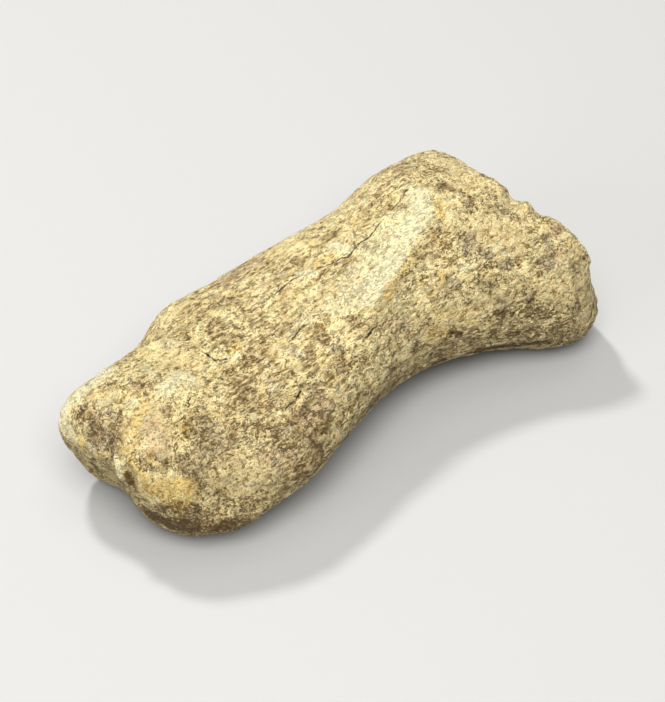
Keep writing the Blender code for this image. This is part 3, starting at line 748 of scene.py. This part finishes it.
def effect_group(name, draw, **numbers):
    """A node group that reads a place in millimetres and these numbers."""
    tree = bpy.data.node_groups.new(name, "ShaderNodeTree")
    tree.interface.new_socket("Place", in_out="INPUT", socket_type="NodeSocketVector")
    for label, value in numbers.items():
        socket = tree.interface.new_socket(label, in_out="INPUT", socket_type="NodeSocketFloat")
        socket.default_value = value
    nodes = Nodes(tree)
    start = nodes.add("NodeGroupInput").outputs
    found = draw(nodes, start)
    for label in found:
        tree.interface.new_socket(label, in_out="OUTPUT", socket_type="NodeSocketFloat")
    nodes.add("NodeGroupOutput", found)
    return tree


def draw_specks(nodes, start):
    """Spots of one size. Cover is how much of the surface stays free, about 0.4 to 0.7."""
    scale = nodes.work("DIVIDE", 1.0, start["Size"])
    noise = nodes.noise(start["Place"], scale, 2.5, 0.6)["Fac"]
    low = nodes.work("SUBTRACT", start["Cover"], start["Edge"])
    high = nodes.work("ADD", start["Cover"], start["Edge"])
    return {"Mask": nodes.between(noise, low, high)}


def draw_lines(nodes, start):
    """Fine winding lines, such as the pores and hair cracks of old bone."""
    scale = nodes.work("DIVIDE", 1.0, start["Size"])
    noise = nodes.noise(start["Place"], scale, 2.0, 0.5, 0.7)["Fac"]
    away = nodes.work("ABSOLUTE", nodes.work("SUBTRACT", noise, 0.5))
    inside = nodes.work("MULTIPLY", start["Width"], 0.4)
    return {"Mask": nodes.rest(nodes.between(away, inside, start["Width"]))}


def draw_ragged(nodes, start):
    """A painted stroke whose edge is broken up by noise."""
    scale = nodes.work("DIVIDE", 1.0, start["Size"])
    noise = nodes.noise(start["Place"], scale, 4.0, 0.62)["Fac"]
    swing = nodes.work("MULTIPLY", nodes.work("SUBTRACT", noise, 0.5), start["Swing"])
    rough = nodes.work("ADD", start["Painted"], swing)
    low = nodes.work("SUBTRACT", 0.5, start["Blur"])
    high = nodes.work("ADD", 0.5, start["Blur"])
    return {"Mask": nodes.between(rough, low, high)}


def draw_pores(nodes, start):
    """Small round pores, one in some of the cells."""
    cells = nodes.cells(start["Place"], nodes.work("DIVIDE", 1.0, start["Size"]))
    pore = nodes.rest(nodes.between(cells["Distance"], 0.10, start["Width"]))
    some = nodes.between(nodes.chance(cells), 0.62, 0.70)
    return {"Mask": nodes.work("MULTIPLY", pore, some)}


def draw_flakes(nodes, start):
    """Small flakes with bent edges: the thin gaps between them, and a tone for each flake."""
    scale = nodes.work("DIVIDE", 1.0, start["Size"])
    finer = nodes.move("SCALE", start["Place"], scale)
    swing = nodes.noise(finer, 1.2, 2.0, 0.6)["Color"]
    bent = nodes.move("ADD", finer, nodes.move("SCALE", swing, start["Bend"]))
    edge = nodes.cells(bent, 1.0, "DISTANCE_TO_EDGE")["Distance"]
    inside = nodes.work("MULTIPLY", start["Width"], 0.45)
    gap = nodes.rest(nodes.between(edge, inside, start["Width"]))
    return {"Gap": gap, "Tone": nodes.chance(nodes.cells(bent, 1.0))}


class BoneFinish(Nodes):
    """The fossil bone's material, laid in coats from the ground colour up. Sizes are in
    millimetres."""

    def __init__(self, tree):
        super().__init__(tree)
        self.specks = effect_group("Specks", draw_specks, Size=0.4, Cover=0.5, Edge=0.06)
        self.lines = effect_group("Lines", draw_lines, Size=0.6, Width=0.04)
        self.ragged = effect_group(
            "Ragged", draw_ragged, Size=0.8, Painted=0.0, Swing=2.0, Blur=0.1)
        self.pores = effect_group("Pores", draw_pores, Size=0.7, Width=0.28)
        self.flakes = effect_group("Flakes", draw_flakes, Size=0.5, Width=0.12, Bend=1.2)
        metres = self.add("ShaderNodeTexCoord").outputs["Object"]
        self.even = self.drawn_out(metres, (1.0 / MM, 1.0 / MM, 1.0 / MM))
        self.grain = self.add(
            "ShaderNodeAttribute", attribute_name="grain_place").outputs["Vector"]
        self.fibre = self.drawn_out(self.grain, (0.48, 1.0, 1.0))
        self.long = self.drawn_out(self.even, (0.28, 1.0, 1.0))
        self.more_spots = self.work("MULTIPLY", self.painted("unseen"), 0.09)

    def drawn_out(self, place, scale):
        mapping = self.add("ShaderNodeMapping", {"Vector": place, "Scale": scale})
        return mapping.outputs["Vector"]

    def painted(self, name):
        """One of the numbers that the mesh keeps."""
        return self.add("ShaderNodeAttribute", attribute_name=name).outputs["Fac"]

    def effect(self, group, place, **numbers):
        feeds = {"Place": place}
        feeds.update({name.capitalize(): value for name, value in numbers.items()})
        return self.add("ShaderNodeGroup", feeds, node_tree=group).outputs

    def mask(self, group, place, **numbers):
        return self.effect(group, place, **numbers)["Mask"]

    def spots(self, place, size, cover, edge):
        """Spots of one size, with this much free of them and edges this soft."""
        return self.mask(self.specks, place, size=size, cover=cover, edge=edge)

    def coat(self, under, over, mask, strength, kind="MIX"):
        """A coat of one colour over another, where its mask is and at this strength."""
        feeds = {0: self.part(mask, strength), 6: under, 7: over}
        return self.add("ShaderNodeMix", feeds, data_type="RGBA", blend_type=kind).outputs[2]

    def patch(self, name, size, swing, blur, spots, share=1.0):
        """The painted strokes of one colour, and loose spots of it everywhere: their size, how
        much stays free of them, and their strength."""
        spot_size, free, strength = spots
        strokes = self.mask(
            self.ragged, self.even, painted=self.part(self.painted(name), share),
            size=size, swing=swing, blur=blur)
        cover = self.work("SUBTRACT", free, self.more_spots)
        loose = self.spots(self.even, spot_size, cover, 0.03)
        return self.most(strokes, self.part(loose, strength))

    def find_dirt_and_shade(self):
        """How grimy each place is, from strokes and clouds, with painted shade on the sides,
        underneath and along the lowest edges, and where dirt can lie.
        """
        broad = self.spots(self.even, 4.5, 0.52, 0.16)
        small = self.spots(self.grain, 1.3, 0.52, 0.13)
        clouds = self.work(
            "ADD", self.work("MULTIPLY", broad, 0.42), self.work("MULTIPLY", small, 0.36))
        clouds = self.work("SUBTRACT", clouds, 0.22)
        self.grime_and_shade = self.share("ADD", clouds, self.painted("grime_and_shade"))
        self.stain = self.patch("stain", 0.42, 3.0, 0.14, (1.9, 0.69, 0.6), 0.62)
        self.umber_and_shade = self.patch("umber_and_shade", 0.34, 3.2, 0.14, (2.4, 0.70, 0.6), 0.62)
        self.cream_and_highlight = self.patch("cream_and_highlight", 0.60, 2.6, 0.30, (2.0, 0.66, 0.7), 0.85)
        clean_and_highlight = self.patch("clean_and_highlight", 0.70, 2.0, 0.30, (2.7, 0.66, 0.5))
        # Soil: grime, stains and umber, so also the painted shade that the grime and umber strokes
        # carry.
        soil_and_shade = self.share("ADD", self.part(self.grime_and_shade, 0.75), self.part(self.stain, 0.34))
        soil_and_shade = self.share("ADD", soil_and_shade, self.part(self.umber_and_shade, 0.60))
        # Worn: free of dirt where the cream and clean strokes are, which along the far knuckle's
        # left rim and on low parts of the knuckles is painted highlight.
        worn_and_highlight = self.most(self.part(self.cream_and_highlight, 0.45), self.part(clean_and_highlight, 0.52))
        self.bare = self.share("SUBTRACT", 1.0, worn_and_highlight)
        self.soil_and_shade = self.part(soil_and_shade, self.bare)

    def ground(self):
        mottle = self.spots(self.even, 3.4, 0.50, 0.16)
        colour = self.coat(TAN, HONEY, mottle, 1.0)
        straw = self.spots(self.grain, 1.1, 0.50, 0.12)
        colour = self.coat(colour, STRAW, straw, 0.80)
        # Dun grime, with painted shade on the sides, underneath and along the lowest edges.
        return self.coat(colour, DUN, self.grime_and_shade, 0.22)

    def flakes_over(self, colour):
        """Grit and flakes: the low ones are dark and the high ones pale, and so are hollows
        and swells."""
        self.grit = self.noise(self.grain, 2.3, 5.0, 0.70)["Fac"]
        self.chips = self.effect(self.flakes, self.grain, size=0.54, width=0.115, bend=1.5)
        lifted = self.work("SUBTRACT", self.chips["Tone"], 0.5)
        relief = self.work("MULTIPLY", self.painted("relief"), 0.026)
        stand = self.work("ADD", self.grit, relief)
        stand = self.work("ADD", stand, self.work("MULTIPLY", lifted, 0.05))
        # More dull brown where the soil and painted shade are.
        stand = self.work("SUBTRACT", stand, self.work("MULTIPLY", self.soil_and_shade, 0.100))
        self.dull = self.rest(self.between(stand, 0.392, 0.416))
        colour = self.coat(colour, UMBER, self.dull, 0.80)
        colour = self.coat(colour, STRAW, self.between(stand, 0.452, 0.484), 0.82)
        flecks = self.spots(self.even, 0.14, 0.56, 0.01)
        return self.coat(colour, PALE_FLECK, flecks, 0.48)

    def patches_over(self, colour):
        """Mauve and ochre veils, a clay veil where the grime and painted shade are, cream where
        the skin of the bone is clean and painted highlight along the far knuckle's left rim, a
        smoky veil over the stains, and the deep brown of dark stains and of painted shade along
        the lowest edges."""
        mauve = self.patch("mauve", 0.70, 2.2, 0.26, (2.6, 0.66, 0.6))
        colour = self.coat(colour, MAUVE, mauve, 0.80, "MULTIPLY")
        ochre = self.patch("ochre", 0.70, 2.2, 0.26, (2.2, 0.65, 0.6))
        colour = self.coat(colour, OCHRE, ochre, 0.80, "MULTIPLY")
        # The clay veil follows the grime mask: grime, and painted shade on the sides, underneath
        # and along the lowest edges.
        colour = self.coat(colour, CLAY, self.grime_and_shade, 0.70, "MULTIPLY")
        bitten = self.spots(self.grain, 0.24, 0.45, 0.05)
        cream_and_highlight = self.part(self.cream_and_highlight, self.share("ADD", bitten, 0.30))
        colour = self.coat(colour, CREAM, cream_and_highlight, 0.80)
        # Chalk: the strongest cream strokes, of which those along the far knuckle's left rim are
        # painted highlight.
        chalk_and_highlight = self.between(self.painted("cream_and_highlight"), 0.72, 1.05)
        colour = self.coat(colour, CHALK, self.part(chalk_and_highlight, cream_and_highlight), 0.40)
        veil = self.most(self.part(self.painted("stain"), 0.58), self.part(self.stain, 0.92))
        colour = self.coat(colour, SMOKE, veil, 1.0, "MULTIPLY")
        # Deep brown: dark stains, and painted shade along the lowest edges.
        return self.coat(colour, DEEP_BROWN, self.umber_and_shade, 0.74)

    def dirt_over(self, colour):
        """Dark specks, winding lines, gaps between flakes, pores and streaks, the denser where the
        grime and the painted shade are, and the dirt in gouges and narrow hollows."""
        free = self.work("SUBTRACT", 0.652, self.work("MULTIPLY", self.soil_and_shade, 0.120))
        dots = self.spots(self.fibre, 0.20, free, 0.015)
        gate = self.spots(self.even, 0.90, 0.53, 0.10)
        some = self.spots(self.even, 0.60, 0.54, 0.04)
        gaps = self.share("ADD", self.part(some, 0.85), self.part(self.soil_and_shade, 0.60))
        gaps = self.part(self.chips["Gap"], gaps)
        web = self.share("ADD", self.part(gate, 0.48), self.part(self.soil_and_shade, 0.65))
        winding = self.mask(self.lines, self.grain, size=0.60, width=0.062)
        web = self.part(winding, web)
        holes = self.mask(self.pores, self.grain, size=0.75, width=0.26)
        motes = self.spots(self.even, 0.12, 0.60, 0.01)
        streaks = self.mask(self.lines, self.long, size=0.60, width=0.046)
        streaks = self.part(streaks, gate)
        loose = self.most(
            dots, web, gaps, holes, self.part(motes, 0.90), self.part(streaks, 0.75))
        loose = self.part(loose, self.share("ADD", self.bare, 0.10))
        cuts = self.spots(self.long, 0.32, 0.540, 0.012)
        cuts = self.part(cuts, self.painted("gouged"))
        packed = self.share("ADD", self.dull, 0.35)
        packed = self.part(self.painted("hollow"), packed)
        self.dirt = self.most(loose, packed, cuts)
        return self.coat(colour, DARK_BROWN, self.dirt, 0.90)

    def cracks_over(self, colour):
        """Cracks, drawn from the distance to their middle, which wanders a little."""
        wander = self.noise(self.even, 2.3, 3.0, 0.7)["Fac"]
        wander = self.work("MULTIPLY", self.work("SUBTRACT", wander, 0.5), 0.45)
        off = self.work("ABSOLUTE", self.work("ADD", self.painted("crack_side"), wander))
        thick = self.between(self.noise(self.grain, 1.4, 2.0, 0.5)["Fac"], 0.30, 0.62)
        thick = self.work("ADD", self.work("MULTIPLY", thick, 0.65), 0.42)
        width = self.work("MULTIPLY", self.painted("crack_width"), thick)
        off = self.work("DIVIDE", off, self.work("ADD", width, 0.001))
        near = self.between(self.painted("crack_width"), 0.01, 0.05)
        self.gap = self.share("SUBTRACT", 1.0, self.between(off, 0.45, 1.15))
        self.gap = self.part(self.gap, near)
        return self.coat(colour, CRACK_BLACK, self.gap, self.painted("crack_tone"))

    def fine_relief(self):
        """A normal in which the grit stands up, and the dirt and the cracks lie lower."""
        tone = self.work("MULTIPLY", self.chips["Tone"], 0.06)
        height = self.work("ADD", self.grit, tone)
        height = self.work("SUBTRACT", height, self.work("MULTIPLY", self.dirt, 0.30))
        height = self.work("SUBTRACT", height, self.work("MULTIPLY", self.gap, 0.80))
        feeds = {"Height": height, "Strength": 1.0, "Distance": 0.0011}
        return self.add("ShaderNodeBump", feeds).outputs["Normal"]


def fossil_material():
    """Dull mineralised bone. Dirt is rougher than the bone's own skin."""
    material = bpy.data.materials.new("fossil bone")
    material.use_nodes = True
    finish = BoneFinish(material.node_tree)
    finish.find_dirt_and_shade()
    colour = finish.ground()
    colour = finish.flakes_over(colour)
    colour = finish.patches_over(colour)
    colour = finish.dirt_over(colour)
    colour = finish.cracks_over(colour)
    feeds = {"Value": finish.dirt, "To Min": 0.46, "To Max": 0.80}
    rough = finish.add("ShaderNodeMapRange", feeds).outputs["Result"]
    shader = material.node_tree.nodes["Principled BSDF"]
    shader.inputs["Specular IOR Level"].default_value = 0.22
    for name, value in (
            ("Base Color", colour), ("Roughness", rough), ("Normal", finish.fine_relief())):
        material.node_tree.links.new(value, shader.inputs[name])
    shader.location = ((max(finish.filled) + 1) * finish.COLUMN, 0)
    material.node_tree.nodes["Material Output"].location = shader.location.x + 300, 0
    return material


def lay_floor():
    bpy.ops.mesh.primitive_plane_add(size=FLOOR_SIZE, location=(0.0, 0.0, 0.0))
    floor = bpy.context.active_object
    floor.name = "floor"
    material = bpy.data.materials.new("pale floor")
    material.use_nodes = True
    shader = material.node_tree.nodes["Principled BSDF"]
    shader.inputs["Base Color"].default_value = FLOOR_GREY
    shader.inputs["Roughness"].default_value = 0.9
    floor.data.materials.append(material)


def light_studio():
    for name, place, size, power in LIGHTS:
        data = bpy.data.lights.new(name, "AREA")
        data.shape = "DISK"
        data.size = size
        data.energy = power
        light = bpy.data.objects.new(name, data)
        bpy.context.scene.collection.objects.link(light)
        light.location = place
        light.rotation_euler = (LIGHTS_AIM - light.location).to_track_quat("-Z", "Y").to_euler()
    world = bpy.data.worlds.new("studio")
    world.use_nodes = True
    background = world.node_tree.nodes["Background"]
    background.inputs["Color"].default_value = (1.0, 1.0, 1.0, 1.0)
    background.inputs["Strength"].default_value = ROOM_LIGHT
    bpy.context.scene.world = world
    bpy.context.scene.view_settings.view_transform = "Standard"


make_camera()
bone = bone_skin()
shape_forms(bone, Seen(bone))
weather(bone)
seen = Seen(bone)
crack(bone, seen)
paint(bone, seen)
find_unseen(bone)
lay_grain(bone)
stand_on_floor(bone)
bone.data.materials.clear()
bone.data.materials.append(fossil_material())
bone.data.shade_smooth()
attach(bone, "root")
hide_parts("toe_bone")
lay_floor()
light_studio()
